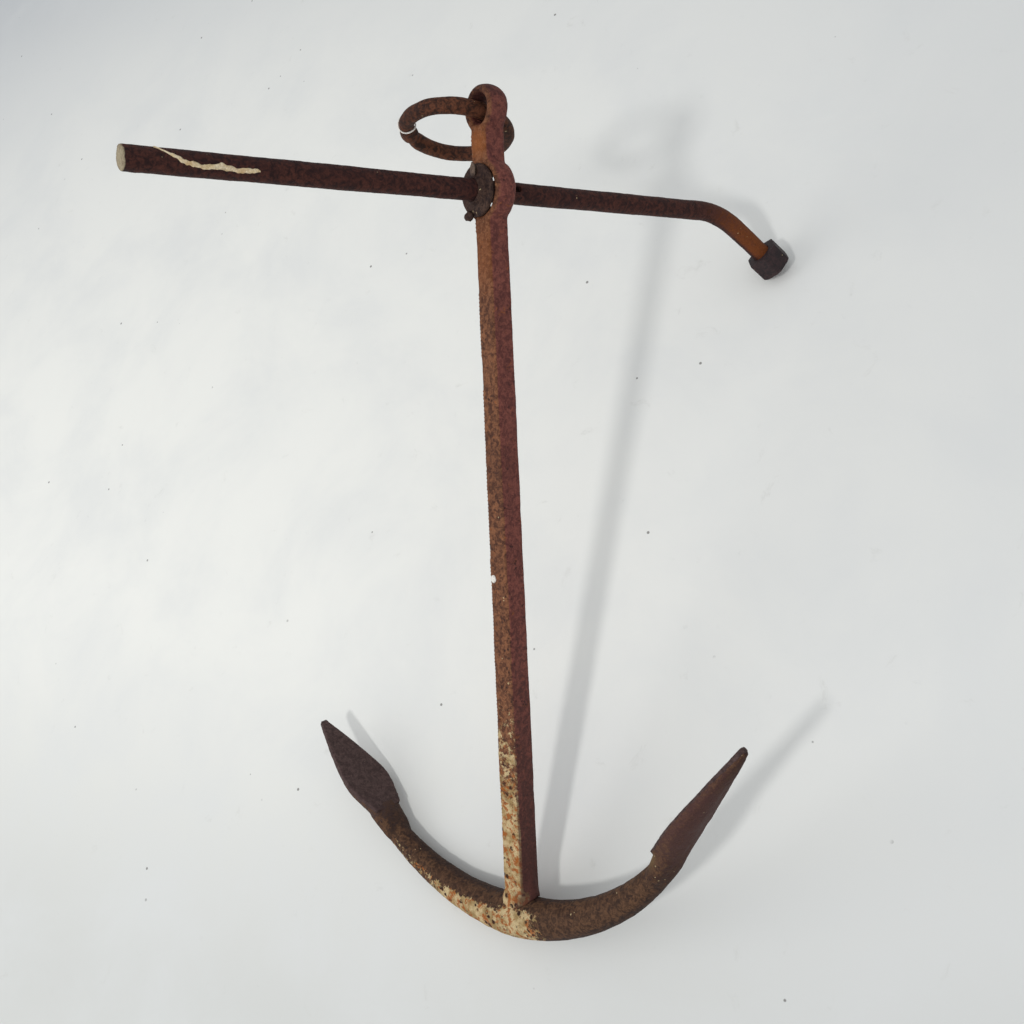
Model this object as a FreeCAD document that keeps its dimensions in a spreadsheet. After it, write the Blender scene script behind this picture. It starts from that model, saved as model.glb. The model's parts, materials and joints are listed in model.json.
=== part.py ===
import FreeCAD, Part
import math
import os

# A small fisherman pattern anchor, lying on a floor.
# Every piece is built in the anchor's own axes: the origin is where the shank's axis meets the arms,
# Z runs up the shank to the ring eye, Y runs through both eyes, and X runs along the arms.
# A last placement, shared by all pieces, lays the whole anchor down on the floor.

os.makedirs("parts", exist_ok=True)
doc = FreeCAD.newDocument("BoatAnchor")
V = FreeCAD.Vector
Turn = FreeCAD.Rotation
At = FreeCAD.Placement

sizes = {
    # shank, millimetres
    "shank_foot_side": 24.5,        # square section just above the crown
    "shank_head_side": 21.5,        # square section at the neck
    "shank_twist": 12,              # degrees the section turns between the arms and the stock eye
    "stock_eye_height": 669,
    "stock_eye_radius": 18.5,
    "stock_eye_wall": 9,
    "stock_eye_depth": 23,
    "ring_eye_rise": 69,            # from the stock eye up to the ring eye
    "ring_eye_radius": 12,
    "ring_eye_wall": 9,
    "ring_eye_depth": 22,
    # foot of the shank, where it flares into the arms
    "foot_length": 27,
    "foot_depth": 17,
    "foot_height": 62,
    # arms
    "arm_bend_radius": 250,
    "arm_bend_angle": 47,           # degrees each arm curves through before it runs straight to its bill
    "crown_drop": 3.5,              # how far the arc hangs below the foot of the shank's axis
    "arm_lean": 8.4,                # degrees the arms sit round from square to the shank
    "crown_radius": 20,
    "bill_radius": 4,
    "bill_nose": 3,                 # length of the rounded tips
    # palms
    "palm_length": 128,
    "palm_half_width": 26,
    "palm_neck": 16,                # half width at the base
    "palm_tip": 3.5,                  # half width at the tip
    "palm_thickness": 5.5,
    "palm_past_bill": 2,            # how far the palm's tip runs past the end of the arm
    "palm_sink": 1.5,               # how far the plate is let into the arm
    "palm_tilt": 3,                 # degrees the base of the plate is raised, along the taper of the arm
    # stock
    "stock_radius": 9.5,
    "stock_long_end": 316,          # from the eye's centre to the plain end
    "stock_short_end": 264,         # from the eye's centre to the start of the bend
    "stock_bend_radius": 74,
    "stock_bend_angle": 40,
    "stock_bend_heading": 18,       # degrees the bend points away from the crown, towards the arms' +X side
    "stock_tail": 67,               # straight length past the bend
    "key_slot_length": 14,
    "key_slot_width": 4.5,
    "key_slot_gap": 3,
    # collar on the stock
    "collar_radius": 22.5,
    "collar_thickness": 5,
    "collar_hub_radius": 13,
    "collar_hub_height": 4,
    "collar_corner": 1.2,
    "collar_play": 0.3,             # between the collar and the lip of the eye
    "collar_lip": 1.2,              # left round the bore at the top of the hub
    "collar_fit": 0.08,             # radial, round the bar
    # nut on the bent end
    "nut_across_flats": 33,
    "nut_height": 24,
    "nut_chamfer": 2.5,
    "nut_from_end": 3,
    # ring
    "ring_radius": 45,
    "ring_bar_radius": 7.2,
    "ring_gap": 2.4,                # degrees left open between the ends of the ring's bar
    "ring_gap_at": 57,              # degrees round the ring from the far limb to that gap
    "ring_skew": 12,                # degrees the ring is skewed in its loose eye
    "ring_swing": 9,                # degrees the ring hangs below square to the shank
    "ring_play": 0.4,               # between the ring's bar and the wall it hangs on
}
sheet = doc.addObject("Spreadsheet::Sheet", "Sizes")
for row, (alias, value) in enumerate(sizes.items(), start=1):
    sheet.set("A%d" % row, alias)
    sheet.set("B%d" % row, str(value))
    sheet.setAlias("B%d" % row, alias)
doc.recompute()


def size(alias):
    return float(sheet.get(alias))


def sized(kind, name, placement=None, **expressions):
    """Add an object whose properties follow the sheet."""
    obj = doc.addObject(kind, name)
    if placement is not None:
        obj.Placement = placement
    for prop, expression in expressions.items():
        obj.setExpression(prop, expression)
    return obj


def fuse(name, shapes):
    obj = doc.addObject("Part::MultiFuse", name)
    obj.Shapes = shapes
    return obj


def cut(name, base, tool):
    obj = doc.addObject("Part::Cut", name)
    obj.Base = base
    obj.Tool = tool
    return obj


def loft(name, sections, ruled):
    obj = doc.addObject("Part::Loft", name)
    obj.Sections = sections
    obj.Solid = True
    obj.Ruled = ruled
    return obj


def plane_of(body, role):
    return [f for f in body.Origin.OriginFeatures if f.Role == role][0]


def sketch_on(body, name, role):
    sketch = body.newObject("Sketcher::SketchObject", name)
    sketch.AttachmentSupport = (plane_of(body, role), "")
    sketch.MapMode = "FlatFace"
    return sketch


alongY = Turn(V(1, 0, 0), -90)      # turns a +Z axis onto +Y


# ---- palms: leaf shaped plates, drawn with the tip up +Y of the plate and the base at its origin
# each pair is a share of the length and the share of the half width reached there
leaf = [(0.12, 0.82), (0.30, 1.0), (0.50, 0.88), (0.74, 0.54), (0.93, 0.23)]


def palm_plate(name):
    body = doc.addObject("PartDesign::Body", name)
    sketch = sketch_on(body, name + "Outline", "XY_Plane")
    length = size("palm_length")
    half = size("palm_half_width")
    neck = size("palm_neck")
    tip = size("palm_tip")
    outline = [(neck, 0)]
    outline += [(half * wide, length * up) for up, wide in leaf]
    outline += [(tip, length)]
    right = Part.BSplineCurve()
    right.interpolate([V(x, y, 0) for x, y in outline])
    left = Part.BSplineCurve()
    left.interpolate([V(-x, y, 0) for x, y in outline])
    sketch.addGeometry([right, left,
                        Part.LineSegment(V(-neck, 0, 0), V(neck, 0, 0)),
                        Part.LineSegment(V(-tip, length, 0), V(tip, length, 0))], False)
    pad = body.newObject("PartDesign::Pad", name + "Pad")
    pad.Profile = sketch
    pad.setExpression("Length", "Sizes.palm_thickness")
    return body


armRadius = size("arm_bend_radius")
armBend = math.radians(size("arm_bend_angle"))
armLength = armRadius * armBend + size("palm_length")
armsTurn = Turn(V(0, 0, 1), size("shank_twist")) * Turn(V(0, 1, 0), -size("arm_lean"))


def arm_turned(run):
    """How far the arm has curved, in radians, at a distance along it from the crown."""
    return math.copysign(min(abs(run) / armRadius, armBend), run)


def arm_point(run):
    """Point on the arms' centre line, at a distance along it from the crown; negative is the left arm."""
    turned = abs(arm_turned(run))
    straight = max(abs(run) - armRadius * armBend, 0)
    x = armRadius * math.sin(turned) + straight * math.cos(turned)
    z = armRadius * (1 - math.cos(turned)) + straight * math.sin(turned)
    return V(math.copysign(x, run), 0, z - size("crown_drop"))


def bar_radius(share):
    """Radius of the arm at a share of the way from crown to bill."""
    return size("crown_radius") + (size("bill_radius") - size("crown_radius")) * share


palmRun = armLength - size("palm_length") / 2 + size("palm_past_bill")
tilt = math.radians(size("palm_tilt"))
palmPlates = []
palmSeats = []
for name, side in (("leftPlate", -1), ("rightPlate", 1)):
    plate = palm_plate(name)
    turned = side * armBend
    along = V(side * math.cos(turned), 0, abs(math.sin(turned)))
    inward = V(-math.sin(turned), 0, math.cos(turned))
    seat = arm_point(side * palmRun) + inward * (bar_radius(palmRun / armLength) - size("palm_sink"))
    along, inward = (along * math.cos(tilt) - inward * math.sin(tilt),
                     inward * math.cos(tilt) + along * math.sin(tilt))
    across = along.cross(inward)
    turn = Turn(across, along, inward, "ZYX")
    base = seat - along * (size("palm_length") / 2)
    plate.Placement = At(V(0, 0, 0), armsTurn) * At(base, turn)
    palmPlates.append(plate)
    # everything above the plate's underside is cut from the arm, out past the bill
    palmSeats.append(sized("Part::Box", name + "Seat",
                           plate.Placement * At(V(-size("crown_radius") * 2, 0, 0), Turn()),
                           Length="Sizes.crown_radius * 4", Width="Sizes.palm_length * 1.5",
                           Height="Sizes.crown_radius * 2"))
palms = []
for name, plate in zip(("left_palm", "right_palm"), palmPlates):
    palm = doc.addObject("Part::Compound", name)
    palm.Links = [plate]
    palms.append(palm)

# ---- arms: one round bar bent to an arc, thick at the crown and tapering to the bills
stations = [0, 0.15, 0.3, 0.45, 0.6, 0.7, 0.85, 1]
bar = [(share * armLength, bar_radius(share)) for share in stations]
for part in (45, 80):
    bar.append((armLength + size("bill_nose") * math.sin(math.radians(part)),
                size("bill_radius") * math.cos(math.radians(part))))
bar = [(-run, radius) for run, radius in reversed(bar[1:])] + bar
sections = []
for i, (run, radius) in enumerate(bar):
    here = At(arm_point(run), Turn(V(0, 1, 0), 90 - math.degrees(arm_turned(run))))
    sections.append(sized("Part::Circle", "armSection%02d" % i, At(V(0, 0, 0), armsTurn) * here))
    sections[-1].Radius = radius
armWhole = loft("armWhole", sections, False)
arms = cut("arms", armWhole, fuse("palmSeats", palmSeats))

# ---- shank: square bar, twisted a little, with a flared foot and two eyes
eyeHeight = size("stock_eye_height")
ringEyeHeight = eyeHeight + size("ring_eye_rise")
squares = []
for name, height, turned, side in (("foot", size("foot_height") / 6, size("shank_twist"), "shank_foot_side"),
                                   ("neck", eyeHeight, 0, "shank_head_side"),
                                   ("head", ringEyeHeight, 0, "shank_head_side")):
    corner = Turn(V(0, 0, 1), 45 + turned)
    square = sized("Part::RegularPolygon", name + "Square", At(V(0, 0, height), corner),
                   Circumradius="Sizes.%s / sqrt(2)" % side)
    square.Polygon = 4
    squares.append(square)
shaft = loft("shaft", squares, True)

# shares of the foot's height, length and depth at each section of the flare
flareShares = [(0.10, 1.0, 1.0), (0.35, 0.68, 0.84), (0.61, 0.53, 0.72), (1.0, 0.42, 0.62)]
flare = []
for i, (height, length, depth) in enumerate(flareShares):
    here = At(V(0, 0, size("foot_height") * height), Turn(V(0, 0, 1), size("shank_twist")))
    flare.append(sized("Part::Ellipse", "flare%d" % i, here,
                       MajorRadius="Sizes.foot_length * %g" % length,
                       MinorRadius="Sizes.foot_depth * %g" % depth))
foot = loft("foot", flare, False)


def eye(name, height, radius, wall, depth):
    """A forged eye: an oval section turned round Y, so both lips of the hole are rounded."""
    body = doc.addObject("PartDesign::Body", name)
    sketch = sketch_on(body, name + "Section", "XY_Plane")
    mean = size(radius) + size(wall) / 2
    half = size(depth) / 2
    reach = size(wall) / 2
    oval = Part.Ellipse(V(mean, half, 0), V(mean + reach, 0, 0), V(mean, 0, 0))
    sketch.addGeometry(oval, False)
    turned = body.newObject("PartDesign::Revolution", name + "Turned")
    turned.Profile = sketch
    turned.ReferenceAxis = (sketch, ["V_Axis"])
    turned.Angle = 360
    body.Placement = At(V(0, 0, height), Turn())
    return body


stockEye = eye("stockEye", eyeHeight, "stock_eye_radius", "stock_eye_wall", "stock_eye_depth")
ringEye = eye("ringEye", ringEyeHeight, "ring_eye_radius", "ring_eye_wall", "ring_eye_depth")


def eye_hole(name, height, alias):
    """A round bar to the middle of the eye's wall, cut from the shaft: the eye's own lips line the hole."""
    return sized("Part::Cylinder", name, At(V(0, -size(alias + "_depth"), height), alongY),
                 Radius="Sizes.%s_radius + Sizes.%s_wall / 2" % (alias, alias),
                 Height="Sizes.%s_depth * 2" % alias)


holes = fuse("eyeHoles", [eye_hole("stockHole", eyeHeight, "stock_eye"),
                          eye_hole("ringHole", ringEyeHeight, "ring_eye")])
shaftPierced = cut("shaftPierced", fuse("shaftFoot", [shaft, foot]), holes)
shankWhole = fuse("shankWhole", [shaftPierced, stockEye, ringEye])
shank = cut("shank", shankWhole, armWhole)

# ---- stock: round bar through the eye, bent at its short end
stock = doc.addObject("PartDesign::Body", "stockBody")
path = sketch_on(stock, "stockPath", "YZ_Plane")
bend = math.radians(size("stock_bend_angle"))
bendRadius = size("stock_bend_radius")
shortEnd = size("stock_short_end")
tail = size("stock_tail")
arcEnd = V(shortEnd + bendRadius * math.sin(bend), -bendRadius * (1 - math.cos(bend)), 0)
tailEnd = arcEnd + V(math.cos(bend), -math.sin(bend), 0) * tail
arcMiddle = V(shortEnd + bendRadius * math.sin(bend / 2), -bendRadius * (1 - math.cos(bend / 2)), 0)
arc = Part.Arc(V(shortEnd, 0, 0), arcMiddle, arcEnd)
path.addGeometry([Part.LineSegment(V(-size("stock_long_end"), 0, 0), V(shortEnd, 0, 0)), arc,
                  Part.LineSegment(arcEnd, tailEnd)], False)
section = sketch_on(stock, "stockSection", "XZ_Plane")
section.AttachmentOffset = At(V(0, 0, size("stock_long_end")), Turn())
section.addGeometry(Part.Circle(V(0, 0, 0), V(0, 0, 1), size("stock_radius")), False)
stockPipe = stock.newObject("PartDesign::AdditivePipe", "stockPipe")
stockPipe.Profile = section
stockPipe.Spine = (path, ["Edge1", "Edge2", "Edge3"])

headed = At(V(0, 0, eyeHeight), Turn(V(0, 1, 0), -size("stock_bend_heading")))
eyeFace = size("stock_eye_depth") / 2
slotCorner = V(-2 * size("stock_radius"), eyeFace + size("key_slot_gap"), -size("key_slot_width") / 2)
keySlot = sized("Part::Box", "keySlot", At(slotCorner, Turn()),
                Width="Sizes.key_slot_length", Height="Sizes.key_slot_width", Length="Sizes.stock_radius * 4")
stockBar = cut("stock_bar", stock, keySlot)
stockBar.Placement = headed

# ---- collar: a forged disc with a low hub, close against the near face of the stock eye
collar = doc.addObject("PartDesign::Body", "stock_collar")
profile = sketch_on(collar, "collarProfile", "YZ_Plane")
bore = size("stock_radius") + size("collar_fit")
rim = size("collar_radius")
corner = size("collar_corner")
eyeReach = size("stock_eye_wall") / 2
fromCrest = size("stock_eye_radius") + eyeReach - (rim - corner)
face = -eyeFace * math.sqrt(1 - (fromCrest / eyeReach) ** 2) - size("collar_play")
back = face - size("collar_thickness")
hub = back - size("collar_hub_height")
corners = [V(face, bore, 0), V(face, rim - corner, 0), V(face - corner, rim, 0), V(back + corner, rim, 0),
           V(back, rim - corner, 0), V(back, size("collar_hub_radius"), 0),
           V(hub, bore + size("collar_lip"), 0), V(hub, bore, 0)]
profile.addGeometry([Part.LineSegment(a, b) for a, b in zip(corners, corners[1:] + corners[:1])], False)
disc = collar.newObject("PartDesign::Revolution", "collarDisc")
disc.Profile = profile
disc.ReferenceAxis = (profile, ["H_Axis"])
disc.Angle = 360
collar.Placement = At(V(0, 0, eyeHeight), Turn())

# ---- nut run onto the end of the bend
alongTail = V(0, math.cos(bend), -math.sin(bend))
nutFoot = V(0, tailEnd.x, tailEnd.y) - alongTail * (size("nut_height") + size("nut_from_end"))
nutCorner = "Sizes.nut_across_flats / sqrt(3)"
hexBar = sized("Part::Prism", "nutHex", Circumradius=nutCorner, Height="Sizes.nut_height")
hexBar.Polygon = 6
drum = sized("Part::Cylinder", "nutDrum", Radius=nutCorner, Height="Sizes.nut_height")
doc.recompute()
rounded = doc.addObject("Part::Chamfer", "nutRounded")
rounded.Base = drum
rounded.Edges = [(edge, size("nut_chamfer"), size("nut_chamfer") * 0.7) for edge in (1, 3)]
nutBlank = doc.addObject("Part::Common", "nutBlank")
nutBlank.Base = hexBar
nutBlank.Tool = rounded
nutBore = sized("Part::Cylinder", "nutBore", Radius="Sizes.stock_radius", Height="Sizes.nut_height")
nut = cut("end_nut", nutBlank, nutBore)
nut.Placement = headed * At(nutFoot, Turn(V(0, 0, 1), alongTail))

# ---- ring: one bar bent round through the ring eye, its ends not quite closed
swing = math.radians(size("ring_swing"))
hangs = V(-math.cos(swing), 0, -math.sin(swing))
barDrop = size("ring_eye_radius") - size("ring_bar_radius") - size("ring_play")
barAt = V(0, 0, ringEyeHeight) + hangs * barDrop
ringCentre = barAt + hangs * size("ring_radius")
skewed = Turn(hangs, size("ring_skew"))
ringAcross = skewed.multVec(V(0, 1, 0))
ringNormal = hangs.cross(ringAcross)
ring = sized("Part::Torus", "ring", Radius1="Sizes.ring_radius", Radius2="Sizes.ring_bar_radius",
             Angle3="360 - Sizes.ring_gap")
gapTurn = Turn(V(0, 0, 1), size("ring_gap") / 2 - size("ring_gap_at"))
ring.Placement = At(ringCentre, Turn(hangs, ringAcross, ringNormal, "XYZ") * gapTurn)

# ---- lay the anchor down: it rests on the nut and on the back of the arms, balanced over those two
doc.recompute()
pieces = [shank, arms] + palms + [stockBar, collar, nut, ring]
volume = sum(piece.Shape.Volume for piece in pieces)
balance = V(0, 0, 0)
for piece in pieces:
    balance += piece.Shape.Solids[0].CenterOfMass * (piece.Shape.Volume / volume)
outside = [point for piece in (nut, arms) for point in piece.Shape.tessellate(0.05)[0]]
down = V(-0.29, 0.85, -0.44)        # first guess; each pass rolls the anchor off its lowest point a little
roll = 0.004
for turn in range(2000):
    lowest = max(outside, key=lambda point: point.dot(down))
    lean = lowest - balance
    down = (down - (lean - down * lean.dot(down)) * (roll / (turn + 10))).normalize()
shankAlong = V(0, 0, 1)
ahead = (shankAlong - down * shankAlong.dot(down)).normalize()
lay = At(V(0, 0, 0), Turn(ahead.cross(-down), ahead, -down, "ZYX").inverted())
boxes = FreeCAD.BoundBox()
for piece in pieces:
    shape = piece.Shape.copy()
    shape.Placement = lay * shape.Placement
    for point in shape.tessellate(0.05)[0]:
        boxes.add(point)
lay = At(V(-boxes.Center.x, -boxes.Center.y, -boxes.ZMin), Turn()) * lay
for piece in pieces:
    piece.Placement = lay * piece.Placement
doc.recompute()
for obj in doc.Objects:
    if "Invalid" in obj.State or "Error" in obj.State:
        raise RuntimeError("%s did not build" % obj.Name)
for piece in pieces:
    if piece.Shape.isNull() or not piece.Shape.isValid() or len(piece.Shape.Solids) != 1:
        raise RuntimeError("%s is not one valid solid" % piece.Label)
    piece.Label = piece.Name
    piece.Shape.exportStep("parts/%s.step" % piece.Label)
    print("%-13s %9.0f mm3" % (piece.Label, piece.Shape.Volume))


def told(label, place, direction=None):
    point = lay.multVec(place) / 1000
    print("%-12s at m (%.5f, %.5f, %.5f)" % (label, point.x, point.y, point.z))
    if direction:
        axis = lay.Rotation.multVec(direction)
        print("%-12s axis  (%.6f, %.6f, %.6f)" % (label, axis.x, axis.y, axis.z))


told("stock eye", V(0, 0, eyeHeight), V(0, 1, 0))
told("ring bar", barAt, ringAcross)
told("ring centre", ringCentre, ringNormal)
told("shank foot", V(0, 0, 0), V(0, 0, 1))
told("arms' arc", V(0, 0, 0), armsTurn.multVec(V(1, 0, 0)))
print("size mm", boxes)
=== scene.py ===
import bpy
import json
import math
import numpy as np
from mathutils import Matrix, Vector, noise


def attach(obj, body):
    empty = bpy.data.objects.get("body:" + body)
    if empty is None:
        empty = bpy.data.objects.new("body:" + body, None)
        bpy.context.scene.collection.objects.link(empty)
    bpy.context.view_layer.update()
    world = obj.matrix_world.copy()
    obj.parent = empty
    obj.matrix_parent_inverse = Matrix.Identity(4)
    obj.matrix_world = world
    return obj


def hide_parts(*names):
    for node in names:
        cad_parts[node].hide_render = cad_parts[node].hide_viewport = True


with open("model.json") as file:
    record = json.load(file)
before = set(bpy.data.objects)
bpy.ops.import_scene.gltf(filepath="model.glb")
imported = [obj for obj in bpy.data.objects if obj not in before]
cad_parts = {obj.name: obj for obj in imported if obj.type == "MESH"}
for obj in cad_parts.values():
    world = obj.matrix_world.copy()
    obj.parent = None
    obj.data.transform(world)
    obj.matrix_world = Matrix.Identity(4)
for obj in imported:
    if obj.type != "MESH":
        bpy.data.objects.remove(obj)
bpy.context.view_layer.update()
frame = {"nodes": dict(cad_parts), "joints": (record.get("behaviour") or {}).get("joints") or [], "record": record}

nodes = frame["nodes"]
joints = {joint["name"]: joint for joint in frame["joints"]}
scene = bpy.context.scene

# the anchor's own directions, taken from its joints: along the stock, up the shank, along the arms
eye = Vector(joints["stock_turn"]["pos_m"])
alongStock = Vector(joints["stock_turn"]["axis"]).normalized()
crown = Vector((0.02437, -0.35049, 0.02948))      # where the shank's middle line meets the arms
upShank = (eye - crown).normalized()
alongArms = alongStock.cross(upShank).normalized()
view = {"at": (0.52206, -0.25215, 0.95214), "turned": (22.136, 29.363, 12.895), "lens": 36.1, "sensor": 36}
lensAt = Vector(view["at"])
print("anchor loaded")


# helpers for building materials
def newMaterial(name):
    mat = bpy.data.materials.new(name)
    mat.use_nodes = True
    mat.node_tree.nodes.clear()
    return mat


class Tree:
    def __init__(self, mat):
        self.tree = mat.node_tree
        self.x = 0

    def add(self, kind, **settings):
        node = self.tree.nodes.new(kind)
        self.x += 40
        node.location = (self.x, -self.x * 0.6)
        for key, value in settings.items():
            setattr(node, key, value)
        return node

    def join(self, a, b):
        self.tree.links.new(a, b)

    def feed(self, socket, value):
        if isinstance(value, bpy.types.NodeSocket):
            self.join(value, socket)
        else:
            socket.default_value = value

    def math(self, operation, a, b=0.0, c=0.0, clamp=False):
        node = self.add("ShaderNodeMath", operation=operation, use_clamp=clamp)
        for socket, value in zip(node.inputs, (a, b, c)):
            self.feed(socket, value)
        return node.outputs[0]

    def dot(self, a, b):
        node = self.add("ShaderNodeVectorMath", operation="DOT_PRODUCT")
        self.feed(node.inputs[0], a)
        self.feed(node.inputs[1], b)
        return node.outputs["Value"]

    def step(self, value, low, high, smooth=True):
        node = self.add("ShaderNodeMapRange", clamp=True)
        node.interpolation_type = "SMOOTHSTEP" if smooth else "LINEAR"
        self.feed(node.inputs["Value"], value)
        self.feed(node.inputs["From Min"], low)
        self.feed(node.inputs["From Max"], high)
        return node.outputs["Result"]

    def noise(self, where, scale, detail=4, rough=0.55, warp=0.0, seed=0.0):
        node = self.add("ShaderNodeTexNoise", noise_dimensions="4D")
        self.feed(node.inputs["Vector"], where)
        node.inputs["W"].default_value = seed
        node.inputs["Scale"].default_value = scale
        node.inputs["Detail"].default_value = detail
        node.inputs["Roughness"].default_value = rough
        node.inputs["Distortion"].default_value = warp
        return node.outputs["Fac"]

    def cells(self, where, scale, feature="F1", jitter=1.0):
        node = self.add("ShaderNodeTexVoronoi", feature=feature)
        self.feed(node.inputs["Vector"], where)
        node.inputs["Scale"].default_value = scale
        node.inputs["Randomness"].default_value = jitter
        return node.outputs["Distance"]

    def mix(self, share, a, b, how="MIX"):
        node = self.add("ShaderNodeMix", data_type="RGBA", blend_type=how)
        self.feed(node.inputs["Factor"], share)
        for socket, value in ((node.inputs[6], a), (node.inputs[7], b)):
            if isinstance(value, tuple):
                value = value + (1.0,)
            self.feed(socket, value)
        return node.outputs[2]


# a colour picked as 0 to 255 values, for a shader
def linear(r, g, b):
    def one(c):
        c /= 255.0
        return c / 12.92 if c <= 0.04045 else ((c + 0.055) / 1.055) ** 2.4
    return (one(r), one(g), one(b))


# old forged iron: mottled rust, one side painted warmer as the lit side and the other cooler as painted shade,
# pits, blooms, and crust where asked
def rustedIron(name, look):
    mat = newMaterial(name)
    t = Tree(mat)
    out = t.add("ShaderNodeOutputMaterial")
    skin = t.add("ShaderNodeBsdfPrincipled")
    coords = t.add("ShaderNodeTexCoord")
    where = coords.outputs["Object"]
    facing = coords.outputs["Normal"]
    seed = look["seed"]

    # broad change of tone, then mottling, then small freckles
    broad = t.noise(where, look["broadScale"], 3, 0.5, 0.3, seed)
    mottle = t.noise(where, look["mottleScale"], 6, 0.68, 0.9, seed + 2)
    colour = t.mix(t.step(mottle, 0.38, 0.62), look["dark"], look["mid"])
    # painted light and shade: faces turned towards the given lit side get the warm colours, the rest get the
    # cooler colours as a painted shaded copy
    if "litSide" in look:
        side = t.step(t.math("ADD", t.dot(facing, look["litSide"]),
                             t.math("MULTIPLY", t.math("SUBTRACT", mottle, 0.5), 0.7)), 0.30, 0.68)
        shadedSideColour = t.mix(t.step(mottle, 0.38, 0.62), look["shadedSideDark"], look["shadedSideMid"])
        colour = t.mix(side, shadedSideColour, colour)
    colour = t.mix(t.math("MULTIPLY", t.step(broad, 0.45, 0.70), look["broadAmount"]), colour, look["shade"])
    bloomNoise = t.noise(where, look["bloomScale"], 5, 0.7, 0.7, seed + 5)
    bloom = t.step(bloomNoise, 0.66 - look["bloomAmount"] * 0.14, 0.76 - look["bloomAmount"] * 0.10)
    colour = t.mix(t.math("MULTIPLY", bloom, 0.75), colour, look["bloom"])
    ochreNoise = t.noise(where, look["bloomScale"] * 2.3, 4, 0.7, 0.5, seed + 7)
    ochre = t.step(ochreNoise, 0.72 - look["ochreAmount"] * 0.12, 0.78 - look["ochreAmount"] * 0.10)
    colour = t.mix(t.math("MULTIPLY", ochre, 0.85), colour, look["ochre"])

    # grain over everything
    grain = t.noise(where, 780, 3, 0.75, 0, seed + 11)
    grit = t.mix(t.step(grain, 0.30, 0.72), look["grainDark"], look["grainLight"])
    colour = t.mix(0.6, colour, grit, "MULTIPLY")
    height = t.math("MULTIPLY", grain, 0.16)
    height = t.math("ADD", height, t.math("MULTIPLY", mottle, 0.75))

    # pits eaten into the skin, in swarms
    swarm = t.noise(where, 52, 3, 0.6, 0, seed + 17)
    wobble = t.add("ShaderNodeVectorMath", operation="MULTIPLY_ADD")
    stir = t.add("ShaderNodeTexNoise")
    stir.inputs["Scale"].default_value = 300
    t.join(where, stir.inputs["Vector"])
    t.join(stir.outputs["Color"], wobble.inputs[0])
    wobble.inputs[1].default_value = (0.003, 0.003, 0.003)
    t.join(where, wobble.inputs[2])
    stirred = wobble.outputs[0]
    pits = t.math("MULTIPLY", t.step(t.cells(stirred, look["pitScale"]), 0.40, 0.16),
                  t.step(swarm, 0.50, 0.60))
    pits = t.math("MULTIPLY", pits, look["pitAmount"])
    colour = t.mix(pits, colour, look["pit"])
    height = t.math("SUBTRACT", height, t.math("MULTIPLY", pits, 0.7))
    # tiny pale specks of old lime
    specks = t.math("MULTIPLY", t.step(t.cells(stirred, 150), 0.12, 0.07), t.step(swarm, 0.56, 0.60))
    colour = t.mix(t.math("MULTIPLY", specks, look["speckAmount"]), colour, look["crustA"])
    rough = t.math("ADD", 0.55, t.math("MULTIPLY", mottle, 0.35))

    # pale crust: each place is (centre, reach, amount, outward side or None)
    crust = None
    for centre, reach, amount, side in look.get("crust", ()):
        away = t.add("ShaderNodeVectorMath", operation="DISTANCE")
        t.feed(away.inputs[0], where)
        away.inputs[1].default_value = centre
        near = t.math("MULTIPLY", t.step(away.outputs["Value"], reach, reach * 0.25), amount)
        if side is not None:
            near = t.math("MULTIPLY", near, t.step(t.dot(facing, side), 0.05, 0.55))
        crust = near if crust is None else t.math("MAXIMUM", crust, near)
    if crust is not None:
        broken = t.noise(where, 95, 6, 0.74, 0.5, seed + 23)
        fine = t.noise(where, 340, 4, 0.7, 0.3, seed + 29)
        both = t.math("ADD", t.math("MULTIPLY", broken, 1.5), t.math("MULTIPLY", fine, 1.3))
        both = t.math("SUBTRACT", both, 0.9)
        edge = t.math("SUBTRACT", 0.98, t.math("MULTIPLY", crust, 0.80))
        mask = t.math("MULTIPLY", t.step(both, edge, t.math("ADD", edge, 0.12)), t.step(crust, 0.0, 0.15))
        tint = t.noise(where, 70, 5, 0.65, 0.3, seed + 31)
        pale = t.mix(t.step(tint, 0.42, 0.60), look["crustA"], look["crustB"])
        rusty = t.step(t.noise(where, 130, 5, 0.72, 0.3, seed + 37), 0.49, 0.57)
        pale = t.mix(t.math("MULTIPLY", rusty, 0.85), pale, look["rustSpot"])
        spots = t.math("MULTIPLY", t.step(t.cells(stirred, 125), 0.34, 0.20),
                       t.step(t.noise(where, 60, 3, 0.6, 0, seed + 41), 0.44, 0.52))
        pale = t.mix(spots, pale, look["darkSpot"])
        pale = t.mix(0.5, pale, grit, "MULTIPLY")
        colour = t.mix(t.math("MULTIPLY", mask, 0.88), colour, pale)
        height = t.math("ADD", height, t.math("MULTIPLY", t.math("SUBTRACT", mask, spots), 0.4))
        rough = t.math("MAXIMUM", rough, t.math("MULTIPLY", mask, 0.93))

    # ragged patches of one colour: (centre, reach, colour, amount, outward side or None)
    for centre, reach, tone, amount, side in look.get("patches", ()):
        away = t.add("ShaderNodeVectorMath", operation="DISTANCE")
        t.feed(away.inputs[0], where)
        away.inputs[1].default_value = centre
        ragged = t.math("ADD", away.outputs["Value"],
                        t.math("MULTIPLY", t.math("SUBTRACT", mottle, 0.5), reach * 2.2))
        near = t.math("MULTIPLY", t.step(ragged, reach * 1.25, reach * 0.2), amount)
        if side is not None:
            near = t.math("MULTIPLY", near, t.step(t.dot(facing, side), 0.2, 0.6))
        tinted = t.mix(0.6, tone, grit, "MULTIPLY")
        colour = t.mix(near, colour, tinted)

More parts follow.
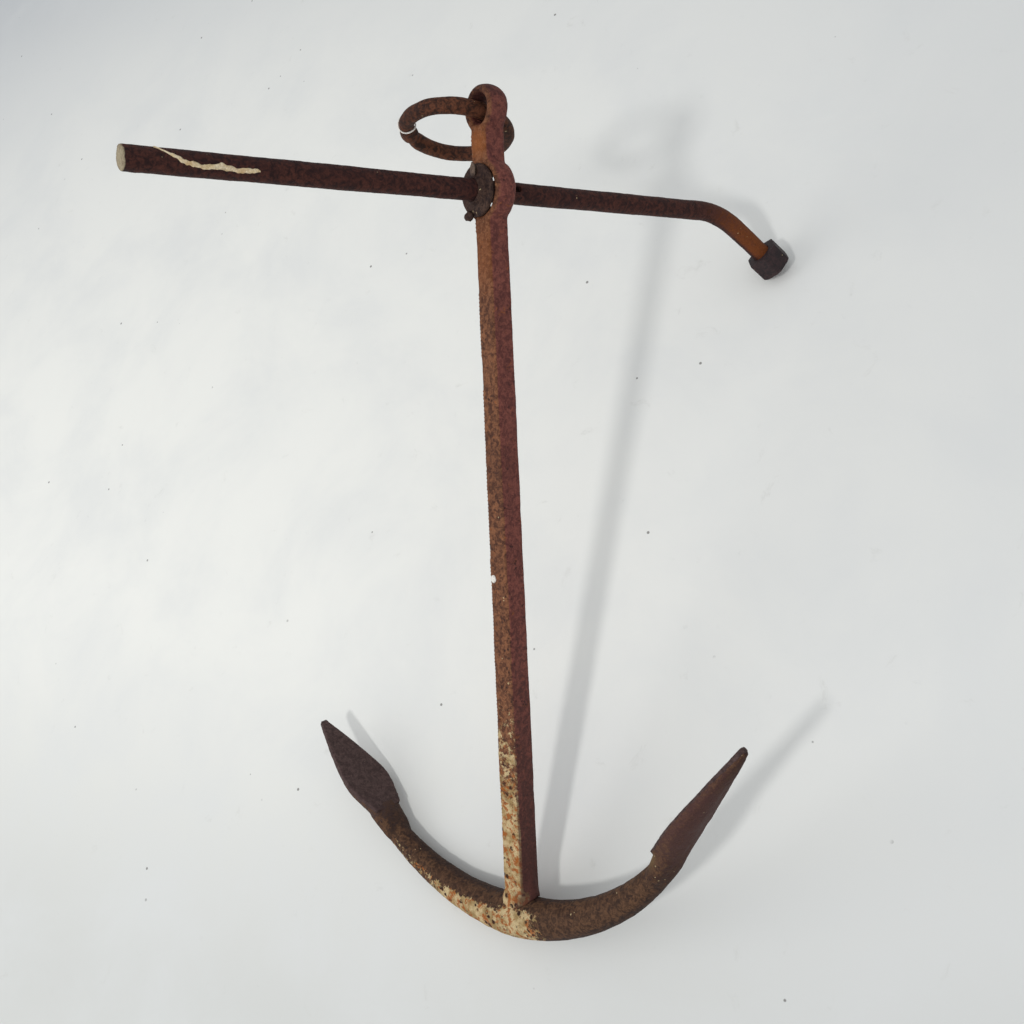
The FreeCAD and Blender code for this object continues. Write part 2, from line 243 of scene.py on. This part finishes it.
    bump = t.add("ShaderNodeBump")
    bump.inputs["Strength"].default_value = look.get("bump", 0.7)
    bump.inputs["Distance"].default_value = 0.0010
    t.join(height, bump.inputs["Height"])
    t.join(bump.outputs["Normal"], skin.inputs["Normal"])
    t.join(colour, skin.inputs["Base Color"])
    t.join(rough, skin.inputs["Roughness"])
    skin.inputs["Metallic"].default_value = look.get("metal", 0.0)
    skin.inputs["Specular IOR Level"].default_value = look.get("shine", 0.18)
    t.join(skin.outputs["BSDF"], out.inputs["Surface"])
    return mat


def cloudTexture(name, size, depth=2):
    tex = bpy.data.textures.new(name, "CLOUDS")
    tex.noise_scale = size
    tex.noise_depth = depth
    return tex


broadLumps = cloudTexture("broadLumps", 0.045)
hammerMarks = cloudTexture("hammerMarks", 0.014)
scaleFlakes = cloudTexture("scaleFlakes", 0.0042, 3)


# softens the sharp edges of a piece and gives it the unevenness of forged, rusted iron
def forge(obj, look, mat):
    mesh = obj.data
    mesh.materials.clear()
    mesh.materials.append(mat)
    remesh = obj.modifiers.new("evenMesh", "REMESH")
    remesh.mode = "VOXEL"
    remesh.voxel_size = look["voxel"]
    remesh.use_smooth_shade = True
    soften = obj.modifiers.new("soften", "SMOOTH")
    soften.factor = 0.5
    soften.iterations = look["soften"]
    for name, tex, strength in (("lumps", broadLumps, look["lumps"]), ("hammer", hammerMarks, look["hammer"]),
                                ("flakes", scaleFlakes, look["flakes"])):
        push = obj.modifiers.new(name, "DISPLACE")
        push.texture = tex
        push.texture_coords = "LOCAL"
        push.strength = strength
        push.mid_level = 0.5


def meshPiece(name, points, faces, body, mat):
    mesh = bpy.data.meshes.new(name)
    mesh.from_pydata([tuple(p) for p in points], [], faces)
    mesh.validate()
    mesh.update()
    obj = bpy.data.objects.new(name, mesh)
    scene.collection.objects.link(obj)
    mesh.materials.append(mat)
    for poly in mesh.polygons:
        poly.use_smooth = True
    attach(obj, body)
    return obj


# points and faces for a row of equal loops, with both ends filled unless closed
def skinned(loops, closed=False):
    points = [p for loop in loops for p in loop]
    n = len(loops[0])
    faces = []
    for i in range(len(loops) if closed else len(loops) - 1):
        a, b = i * n, ((i + 1) % len(loops)) * n
        for j in range(n):
            k = (j + 1) % n
            faces.append((a + j, a + k, b + k, b + j))
    if not closed:
        faces.append(tuple(range(n - 1, -1, -1)))
        faces.append(tuple(range((len(loops) - 1) * n, len(loops) * n)))
    return points, faces


# a small knobbly lump, its three radii along three given directions
def lump(name, at, radii, axes, body, mat, seed):
    loops = []
    for i in range(1, 12):
        v = math.pi * i / 12
        loop = []
        for j in range(20):
            u = 2 * math.pi * j / 20
            way = Vector((math.sin(v) * math.cos(u), math.sin(v) * math.sin(u), math.cos(v)))
            swell = 1 + 0.28 * noise.noise(way * 1.7 + Vector((seed, seed * 0.3, 2)))
            steps = (axis * (part * r * swell) for axis, part, r in zip(axes, way, radii))
            loop.append(at + sum(steps, Vector()))
        loops.append(loop)
    points, faces = skinned(loops)
    return meshPiece(name, points, faces, body, mat)


# a place or direction on the anchor, counted from a point in its own three directions
def place(start, up=0.0, stock=0.0, arms=0.0):
    return tuple(start + upShank * up + alongStock * stock + alongArms * arms)


def direction(up=0.0, stock=0.0, arms=0.0):
    return tuple((upShank * up + alongStock * stock + alongArms * arms).normalized())


# what every iron piece starts from
base = {
    "broadScale": 14, "broadAmount": 0.35, "mottleScale": 210, "bloomScale": 120, "bloomAmount": 0.35,
    "ochreAmount": 0.15, "seed": 0.0,
    "dark": linear(66, 40, 32), "mid": linear(114, 76, 56), "shade": linear(62, 38, 34),
    "shadedSideMid": linear(116, 68, 60), "shadedSideDark": linear(76, 40, 40),
    "bloom": linear(142, 80, 44), "ochre": linear(170, 114, 56), "pit": linear(36, 22, 22),
    "pitScale": 240, "pitAmount": 0.75, "speckAmount": 0.7,
    "grainDark": (0.55, 0.53, 0.53), "grainLight": (1.28, 1.25, 1.22),
    "crustA": linear(206, 184, 140), "crustB": linear(160, 134, 90), "rustSpot": linear(160, 82, 24),
    "darkSpot": linear(52, 34, 26),
}

# shank
longSide = tuple(-alongStock)
shankLook = dict(
    # painted light and shade: the shank's faces towards the stock's long end are painted as the lit side, the
    # others with the cooler colours as painted shade
    base, seed=1.0, voxel=0.0015, soften=16, lumps=0.0009, hammer=0.0006, flakes=0.0004, litSide=longSide,
    dark=linear(76, 45, 32), mid=linear(136, 90, 62), shadedSideMid=linear(130, 76, 66), shadedSideDark=linear(92, 50, 46),
    bloomAmount=0.5, ochreAmount=0.3, bloom=linear(152, 88, 46),
    crust=[(place(crown, up=0.04), 0.29, 0.75, longSide),
           (place(crown, up=0.03), 0.19, 1.0, longSide),
           (place(crown), 0.075, 1.0, direction(up=-0.4, stock=-1))],
    patches=[(place(eye, up=0.040, stock=-0.008), 0.017, linear(156, 88, 34), 0.55, longSide),
             (place(eye, up=-0.055), 0.036, linear(132, 74, 34), 0.45, longSide),
             # painted shade: a darker patch low on the shank near the crown, on the faces turned along the arms
             (place(crown, up=0.02), 0.24, linear(74, 48, 44), 0.75, tuple(alongArms)),
             (place(eye, up=0.085, arms=-0.004), 0.024, linear(56, 32, 30), 0.7, None)])
forge(nodes["shank"], shankLook, rustedIron("shankRust", shankLook))

# a fleck of white paint half way up
chip = {"up": 0.325, "stock": -0.0122, "arms": -0.0050, "radii": (0.0034, 0.0036, 0.0016)}
chipLook = dict(base, seed=12.0, dark=linear(226, 222, 212), mid=linear(244, 240, 232),
                shade=linear(226, 222, 212), bloomAmount=-1.0, ochreAmount=-1.0, pitAmount=0.2, bump=0.4)
chipSkin = rustedIron("oldPaint", chipLook)
lump("paintChip", Vector(place(crown, chip["up"], chip["stock"], chip["arms"])), chip["radii"],
     (alongArms, upShank, -alongStock), "anchor", chipSkin, 3.1)
print("shank finished")

# arms: the bar, with the metal drawn out to a wedge behind each palm and swelling into its root
palmShape = {
    "wedgeBase": 0.0165, "wedgeTip": 0.0020,        # depth of the wedge at the palm's root and at its tip
    "wedgeRows": ((0.45, 0.90), (0.75, 0.70), (1.0, 0.38)),         # share of its depth, share of its width
    "rim": {"left_palm": (0.0010, 0.96), "right_palm": (0.0044, 1.02)},      # rise beside the plate, width
    "rimRow": 0.15, "wedgeLength": 0.995,
    "neckRows": ((0.050, 0.30, 0.30), (0.036, 0.70, 0.66), (0.020, 0.98, 0.95), (-0.006, 1.12, 1.14)),
    "neckHalfWidth": 0.0165, "neckHalfThick": 0.0105, "neckUnder": 0.0055, "neckFall": 0.006 / 0.044,
    "barNarrows": 0.45, "barThins": 0.6, "barDepth": 0.035, "barReach": 0.03, "billBack": 0.001,
    "sameLevel": 0.0006, "pointGap": 0.0006,
}


# the palm's middle, its three directions, the level of its underside and the outline of that underside
def palmPlate(side):
    plate = np.array([v.co for v in nodes[side].data.vertices])
    middle = plate.mean(0)
    _, _, spread = np.linalg.svd(plate - middle, full_matrices=False)
    along, across, inward = (Vector(row) for row in spread)
    middle = Vector(middle)
    if inward.dot(eye - middle) < 0:
        inward = -inward
    if along.dot(middle - crown) < 0:
        along = -along
    across = along.cross(inward)
    local = [tuple(axis.dot(Vector(p) - middle) for axis in (along, across, inward)) for p in plate]
    under = min(p[2] for p in local)
    ordered = sorted(((p[0], p[1]) for p in local if p[2] < under + palmShape["sameLevel"]),
                     key=lambda q: math.atan2(q[1], q[0]))
    outline = [ordered[0]]
    for q in ordered[1:]:
        if math.hypot(q[0] - outline[-1][0], q[1] - outline[-1][1]) > palmShape["pointGap"]:
            outline.append(q)
    return middle, along, across, inward, under, outline


armPoints = [v.co.copy() for v in nodes["arms"].data.vertices]
armFaces = [tuple(p.vertices) for p in nodes["arms"].data.polygons]
palmAt = {}
for side in ("left_palm", "right_palm"):
    middle, along, across, inward, under, outline = palmPlate(side)
    tipAt = max(q[0] for q in outline)
    baseAt = min(q[0] for q in outline)
    palmAt[side] = {"middle": middle, "along": along, "inward": inward, "base": baseAt}

    # the bar thins to a fine point under the plate
    for p in armPoints:
        u, v, w = (axis.dot(p - middle) for axis in (along, across, inward))
        if u > baseAt and w > under - palmShape["barDepth"] and abs(v) < palmShape["barReach"]:
            share = min((u - baseAt) / (tipAt - baseAt), 1.0)
            p -= (across * (v * palmShape["barNarrows"] * share)
                  + inward * ((w - under) * palmShape["barThins"] * share))
            p -= along * max(u - tipAt + palmShape["billBack"], 0)

    neck = []
    for back, wide, thick in palmShape["neckRows"]:
        level = under - palmShape["neckUnder"]
        loop = []
        for j in range(20):
            turn = 2 * math.pi * j / 20
            loop.append(middle + along * (baseAt - back)
                        + across * (palmShape["neckHalfWidth"] * wide * math.cos(turn))
                        + inward * (level + palmShape["neckHalfThick"] * thick * math.sin(turn)
                                    - palmShape["neckFall"] * back))
        neck.append(loop)

    rise, rimWidth = palmShape["rim"][side]
    wedge = []
    for drop, narrow in ((None, rimWidth), (palmShape["rimRow"], rimWidth)) + palmShape["wedgeRows"]:
        loop = []
        for u, v in outline:
            share = (u - baseAt) / (tipAt - baseAt)
            depth = palmShape["wedgeBase"] + (palmShape["wedgeTip"] - palmShape["wedgeBase"]) * share
            down = -rise if drop is None else depth * drop
            loop.append(middle + along * u * palmShape["wedgeLength"] + across * v * narrow
                        + inward * (under - down))
        wedge.append(loop)

    for points, faces in (skinned(wedge), skinned(neck)):
        offset = len(armPoints)
        armPoints += points
        armFaces += [tuple(offset + i for i in face) for face in faces]

outwardLeft = direction(up=-0.5, stock=-0.75, arms=-0.45)
palmTone = dict(dark=linear(62, 46, 44), mid=linear(86, 68, 65))
left, right = palmAt["left_palm"], palmAt["right_palm"]
rightRoot = right["middle"] + right["along"] * (right["base"] - 0.004)
armLook = dict(
    base, seed=2.0, voxel=0.0013, soften=9, lumps=0.0016, hammer=0.0008, flakes=0.0005,
    # painted light and shade: the arms' faces turned up and towards the stock's long end get the lit colours, the
    # rest a darker, cooler painted shaded copy
    litSide=direction(up=0.3, stock=-1), bloomAmount=0.0, ochreAmount=0.0,
    dark=linear(56, 37, 26), mid=linear(98, 70, 50), shadedSideMid=linear(76, 54, 42), shadedSideDark=linear(44, 29, 24),
    crust=[(place(crown, arms=-0.055), 0.115, 1.05, outwardLeft),
           (place(crown, up=0.035, arms=-0.135), 0.085, 0.9, outwardLeft),
           (place(crown, arms=0.005), 0.055, 1.05, direction(up=-0.5, stock=-1))],
    patches=[(tuple(left["middle"] - left["inward"] * 0.008), 0.066, palmTone["mid"], 0.8, None),
             (tuple(right["middle"] - right["inward"] * 0.008), 0.070, linear(82, 54, 50), 0.8, None),
             (tuple(rightRoot - alongStock * 0.012), 0.013, linear(122, 98, 62), 0.6, None)])
armRust = rustedIron("armRust", armLook)
forgedArms = meshPiece("forged_arms", armPoints, armFaces, "anchor", armRust)
forge(forgedArms, armLook, armRust)
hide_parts("arms")
print("arms finished")

# palms
palmLook = dict(
    base, seed=3.0, voxel=0.0010, soften=5, lumps=0.0012, hammer=0.0006, flakes=0.0003, bloomAmount=-0.4,
    ochreAmount=-0.5, speckAmount=0.5, pitAmount=0.45, shade=linear(74, 58, 58), **palmTone)
palmRust = rustedIron("palmRust", palmLook)
for side in ("left_palm", "right_palm"):
    forge(nodes[side], palmLook, palmRust)

# stock
stockBar = {"longEnd": 0.316, "bendFrom": 0.30, "overPaint": 0.0097}
longEnd = eye - alongStock * stockBar["longEnd"]
bendStart = eye + alongStock * stockBar["bendFrom"]
bendTop = tuple(((lensAt - bendStart).normalized() + upShank * 0.3).normalized())
stockLook = dict(
    base, seed=4.0, voxel=0.0012, soften=4, lumps=0.0009, hammer=0.0005, flakes=0.0004, broadAmount=0.5,
    bloomAmount=0.1, ochreAmount=0.1, dark=linear(40, 20, 20), mid=linear(80, 45, 37), shade=linear(44, 23, 24),
    patches=[(tuple(longEnd), 0.016, linear(158, 146, 120), 1.0, longSide),
             # orange rust on the bend, painted only on the side turned up towards the camera, so that this top is
             # also painted lighter than the shaded underside
             (place(bendStart, up=-0.02, stock=0.045, arms=0.012), 0.075, linear(134, 72, 26), 0.62, bendTop)])
stockRust = rustedIron("stockRust", stockLook)
forge(nodes["stock_bar"], stockLook, stockRust)

# a dried run of pale paint that wanders along the bar
runLook = dict(base, seed=9.0, dark=linear(214, 190, 146), mid=linear(232, 216, 184),
               shade=linear(196, 150, 92), broadScale=60, broadAmount=0.8, bloomAmount=-1.0,
               ochreAmount=0.3, pitAmount=0.3, bump=0.5)
# distance from the eye, angle round the bar in degrees, half width in millimetres
runPath = [(0.2935, 72, 0.5), (0.286, 46, 0.9), (0.277, 17, 1.9), (0.272, 4, 2.0), (0.2605, -7, 1.7),
           (0.247, 0, 2.1), (0.2405, -3, 1.9), (0.234, -11, 2.3), (0.226, -6, 1.8), (0.2185, -4, 1.3),
           (0.2165, -5, 0.6)]
toLens = (lensAt - (eye - alongStock * 0.25)).normalized()
toLens = (toLens - alongStock * toLens.dot(alongStock)).normalized()
upBar = toLens.cross(alongStock).normalized()
if upBar.dot(upShank) < 0:
    upBar = -upBar
loops = []
for (s0, a0, w0), (s1, a1, w1) in zip(runPath, runPath[1:]):
    for k in range(10):
        f = k / 10
        s, angle, width = s0 + (s1 - s0) * f, a0 + (a1 - a0) * f, w0 + (w1 - w0) * f
        wander = noise.noise(Vector((s * 260, 1.5, 0))) * 5
        width *= 1 + 0.45 * noise.noise(Vector((s * 420, 7.5, 0)))
        loop = []
        for j in range(8):
            turn = 2 * math.pi * j / 8
            swing = math.radians(angle + wander) + math.cos(turn) * width / 1000 / stockBar["overPaint"]
            out = toLens * math.cos(swing) + upBar * math.sin(swing)
            loop.append(eye - alongStock * s + out * (stockBar["overPaint"] + math.sin(turn) * 0.0006))
        loops.append(loop)
points, faces = skinned(loops)
meshPiece("paint_run", points, faces, "stock", rustedIron("paleRun", runLook))
print("stock finished")

# collar, with a lump and a flake of scale on it
collarLook = dict(stockLook, seed=7.0, voxel=0.0008, soften=3, lumps=0.0007, hammer=0.0004,
                  dark=linear(40, 26, 24), mid=linear(78, 58, 48), patches=[])
collarRust = rustedIron("collarRust", collarLook)
forge(nodes["stock_collar"], collarLook, collarRust)
collarAt = eye - alongStock * 0.0145
lump("collar_lug", Vector(place(collarAt, up=-0.0205, stock=-0.002, arms=-0.010)), (0.006, 0.0042, 0.0032),
     (alongArms, upShank, alongStock), "collar", collarRust, 5.2)
scaleLook = dict(collarLook, dark=linear(84, 70, 62), mid=linear(128, 108, 94))
lump("collar_scale", Vector(place(collarAt, up=0.0165, stock=-0.0035, arms=0.001)), (0.0035, 0.0062, 0.0016),
     (alongArms, upShank, alongStock), "collar", rustedIron("scaleRust", scaleLook), 8.4)

# a guess: a dark sheet shaped like scale on the side of the eye away from the camera, painted shade so that the
# gap through the eye looks dark
eyeGapShade = {"halfAngle": 80, "outer": 0.0190, "thick": 0.0040, "from": 0.0035, "deep": 0.0070}
eyeGapShadeLook = dict(base, seed=15.0, dark=linear(34, 22, 18), mid=linear(64, 42, 32))
towards = (lensAt - eye).normalized()
towards = (towards - alongStock * towards.dot(alongStock)).normalized()
beside = alongStock.cross(towards)
loops = []
for i in range(29):
    turn = math.radians(-eyeGapShade["halfAngle"] + 2 * eyeGapShade["halfAngle"] * i / 28)
    way = -towards * math.cos(turn) + beside * math.sin(turn)
    thick = eyeGapShade["thick"] * math.cos(turn) ** 0.5 * (1 + 0.35 * noise.noise(Vector((i * 0.45, 2.5, 0))))
    loops.append([eye + way * (eyeGapShade["outer"] - thick * inner)
                  + alongStock * (eyeGapShade["from"] + eyeGapShade["deep"] * far)
                  for inner, far in ((0, 0), (0.7, 0.1), (1, 0.5), (0.7, 0.9), (0, 1))])
points, faces = skinned(loops)
meshPiece("eye_gap_shade", points, faces, "anchor", rustedIron("eyeGapShade", eyeGapShadeLook))

# nut
nutLook = dict(
    base, seed=5.0, voxel=0.0006, soften=1, lumps=0.0005, hammer=0.0003, flakes=0.0002, bloomAmount=-0.3,
    ochreAmount=-0.3, shine=0.4, dark=linear(30, 19, 22), mid=linear(56, 37, 38), shade=linear(34, 22, 26))
forge(nodes["end_nut"], nutLook, rustedIron("nutRust", nutLook))
print("collar and nut finished")

# ring: hammered round a little out of true, its lower end lapped and lumpy at the open joint
ringShape = {
    "hang": 0.0431, "across": 0.0460, "bar": 0.00712,       # radius along the hang, radius across it, bar
    "gapAt": -57.0, "gapHalf": 1.5, "smoothInEye": 24,      # degrees
    # degrees on from the joint, and the bar's swelling there
    "swells": ((0, 0.93), (6, 1.02), (13, 1.14), (19, 1.10), (22, 0.86), (27, 0.92), (34, 1.03), (45, 1.0),
               (345, 1.0), (357, 0.96)),
    "threadAt": -6, "threadOver": 0.0008, "threadWander": 0.0012, "thread": 0.0007,
}
ringLook = dict(
    base, seed=6.0, voxel=0.0008, soften=3, lumps=0.0009, hammer=0.0006, flakes=0.0003, broadAmount=0.6,
    bloomAmount=0.2, ochreAmount=0.2, dark=linear(46, 26, 18), mid=linear(104, 62, 42), shade=linear(44, 27, 24))
ringRust = rustedIron("ringRust", ringLook)
ringBar = Vector(joints["ring_swing"]["pos_m"])
ringAcross = Vector(joints["ring_swing"]["axis"]).normalized()
ringHang = (Vector(frame["record"]["mounts"][0]["pos_m"]) - ringBar).normalized()
ringNormal = ringHang.cross(ringAcross)
ringMiddle = ringBar + ringHang * ringShape["hang"]


# a point on the ring's middle line, and the direction straight out from its centre
def ringPoint(phi):
    spot = (ringMiddle + ringHang * ringShape["hang"] * math.cos(phi)
            + ringAcross * ringShape["across"] * math.sin(phi))
    out = (ringHang * math.cos(phi) + ringAcross * math.sin(phi)).normalized()
    return spot, out


loops = []
for i in range(221):
    turned = ringShape["gapHalf"] + (360 - 2 * ringShape["gapHalf"]) * i / 220
    swell = 1.0
    for (a0, v0), (a1, v1) in zip(ringShape["swells"], ringShape["swells"][1:]):
        if a0 <= turned <= a1:
            swell = v0 + (v1 - v0) * (turned - a0) / (a1 - a0)
    rough = 1 if abs(turned + ringShape["gapAt"] - 180) > ringShape["smoothInEye"] else 0
    spot, out = ringPoint(math.radians(ringShape["gapAt"] + turned))
    loop = []
    for j in range(24):
        turn = 2 * math.pi * j / 24
        way = out * math.cos(turn) + ringNormal * math.sin(turn)
        uneven = 0.045 * noise.noise(spot * 70 + way * 0.8) * rough
        loop.append(spot + way * ringShape["bar"] * (swell + uneven))
    loops.append(loop)
points, faces = skinned(loops)
ringPiece = meshPiece("forged_ring", points, faces, "ring", ringRust)
forge(ringPiece, ringLook, ringRust)
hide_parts("ring")

# a pale line beside the ring's open joint, guessed to be a turn of thread
spot, out = ringPoint(math.radians(ringShape["gapAt"] + ringShape["threadAt"]))
tangent = ringNormal.cross(out)
loops = []
for i in range(40):
    turn = 2 * math.pi * i / 40
    way = out * math.cos(turn) + ringNormal * math.sin(turn)
    middle = (spot + way * (ringShape["bar"] + ringShape["threadOver"])
              + tangent * (ringShape["threadWander"] * math.sin(turn * 2)))
    loops.append([middle + (way * math.cos(k) + tangent * math.sin(k)) * ringShape["thread"]
                  for k in (2 * math.pi * j / 8 for j in range(8))])
points, faces = skinned(loops, True)
meshPiece("pale_thread", points, faces, "ring", chipSkin)
print("ring finished")

# floor: pale paint, painted brightest beside the anchor as a pool of light and darker in bands as painted shade,
# with faint clouds, dirt and a few crumbs
floorLook = {
    # painted light: the floor's colour is brightest round a point beside the anchor and fades to the greyer far
    # colour
    "half": 6, "lightPoolAt": (-0.75, -0.05, 0), "lightPoolReach": (0.25, 2.6),
    "lightPoolColour": linear(244, 243, 236), "far": linear(206, 208, 210),
    # each band of painted shade: where it starts and is full along Y, how much, its colour
    "paintedShadeBands": ((0.75, 1.70, 0.5, linear(172, 178, 186)), (-0.05, -0.60, 0.55, linear(186, 188, 186))),
    "cloud": linear(224, 225, 223), "dirt": linear(188, 186, 178), "crumb": linear(96, 92, 86),
}
half = floorLook["half"]
floorMesh = bpy.data.meshes.new("floor")
floorMesh.from_pydata([(-half, -half, 0), (half, -half, 0), (half, half, 0), (-half, half, 0)], [], [(0, 1, 2, 3)])
floor = bpy.data.objects.new("floor", floorMesh)
scene.collection.objects.link(floor)


def palePaint():
    mat = newMaterial("palePaint")
    t = Tree(mat)
    out = t.add("ShaderNodeOutputMaterial")
    skin = t.add("ShaderNodeBsdfPrincipled")
    where = t.add("ShaderNodeTexCoord").outputs["Object"]
    # painted pool of light round a point beside the anchor
    away = t.add("ShaderNodeVectorMath", operation="DISTANCE")
    t.join(where, away.inputs[0])
    away.inputs[1].default_value = floorLook["lightPoolAt"]
    fade = t.step(away.outputs["Value"], *floorLook["lightPoolReach"])
    colour = t.mix(fade, floorLook["lightPoolColour"], floorLook["far"])
    parts = t.add("ShaderNodeSeparateXYZ")
    t.join(where, parts.inputs[0])
    # painted shade: darker bands along Y
    for start, full, amount, tone in floorLook["paintedShadeBands"]:
        colour = t.mix(t.math("MULTIPLY", t.step(parts.outputs["Y"], start, full), amount), colour, tone)
    clouds = t.noise(where, 5.5, 5, 0.6, 0.4, 2.0)
    colour = t.mix(t.math("MULTIPLY", t.step(clouds, 0.35, 0.75), 0.5), colour, floorLook["cloud"])
    dirt = t.noise(where, 34, 6, 0.7, 0.6, 4.0)
    colour = t.mix(t.math("MULTIPLY", t.step(dirt, 0.60, 0.80), 0.35), colour, floorLook["dirt"])
    swarm = t.step(t.noise(where, 9, 2, 0.5, 0, 6.0), 0.52, 0.56)
    crumbs = t.math("MULTIPLY", t.step(t.cells(where, 26), 0.055, 0.035), swarm)
    colour = t.mix(t.math("MULTIPLY", crumbs, 0.75), colour, floorLook["crumb"])
    t.join(colour, skin.inputs["Base Color"])
    skin.inputs["Roughness"].default_value = 0.9
    skin.inputs["Specular IOR Level"].default_value = 0.1
    t.join(skin.outputs["BSDF"], out.inputs["Surface"])
    return mat


floorMesh.materials.append(palePaint())

# light: a pale room, one small lamp for the shadow and one wide soft one
room = {
    "tint": (0.93, 0.96, 1.0, 1), "strength": 0.66, "aimHeight": 0.15,
    # name, direction of travel, distance, size, power
    "lamps": (("mainLight", (-0.005, 0.458, -0.889), 2.6, 0.26, 17),
              ("windowLight", (0.80, 0.35, -0.62), 2.8, 1.8, 15)),
}
world = bpy.data.worlds.new("room")
scene.world = world
world.use_nodes = True
background = world.node_tree.nodes["Background"]
background.inputs["Color"].default_value = room["tint"]
background.inputs["Strength"].default_value = room["strength"]
for name, travels, distance, size, power in room["lamps"]:
    lamp = bpy.data.lights.new(name, "AREA")
    lamp.shape = "DISK"
    lamp.size = size
    lamp.energy = power
    lampPiece = bpy.data.objects.new(name, lamp)
    way = Vector(travels).normalized()
    lampPiece.location = Vector((0, 0, room["aimHeight"])) - way * distance
    lampPiece.rotation_euler = way.to_track_quat("-Z", "Y").to_euler()
    scene.collection.objects.link(lampPiece)

# camera
camera = bpy.data.cameras.new("view")
camera.lens = view["lens"]
camera.sensor_width = view["sensor"]
viewer = bpy.data.objects.new("view", camera)
viewer.location = lensAt
viewer.rotation_euler = [math.radians(a) for a in view["turned"]]
scene.collection.objects.link(viewer)
scene.camera = viewer
scene.view_settings.view_transform = "Standard"
print("room lit")
